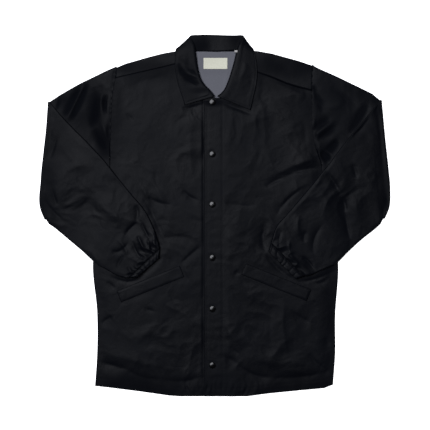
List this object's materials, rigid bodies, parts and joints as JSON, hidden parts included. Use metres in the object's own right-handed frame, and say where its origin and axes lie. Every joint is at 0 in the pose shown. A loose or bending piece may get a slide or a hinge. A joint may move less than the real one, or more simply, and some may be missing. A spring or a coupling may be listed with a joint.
{
  "type": "coach jacket",
  "caption": "Thin nylon coach jacket laid flat on its back, snapped shut, with a turned-down collar, slanted welt pockets and both elastic-cuffed sleeves folded in over the front",
  "frame": {"origin": "on the flat underside of the back, under the line of snaps, 423 mm above the lowest point of the hem", "axes": "+Z out of the surface it lies on, +Y from the hem to the collar, +X to the wearer's left"},
  "size_m": [0.8249, 0.8495, 0.0185],
  "materials": {
    "shell": "thin plain-weave nylon, near black with a soft satin sheen",
    "lining": "matt grey woven lining",
    "label": "bare cream woven label tape",
    "snap": "glossy black domed snap cap"
  },
  "bodies": {
    "root": {"back": "shell", "front_right": "shell", "front_left": "shell", "sleeve_right": "shell", "sleeve_left": "shell", "cuff_right": "shell", "cuff_left": "shell", "collar": "shell", "welt_right": "shell", "welt_left": "shell", "back_lining": "lining", "neck_label": "label", "size_tab": "label", "snap_1": "snap", "snap_2": "snap", "snap_3": "snap", "snap_4": "snap", "snap_5": "snap", "snap_6": "snap"}
  },
  "joints": []
}
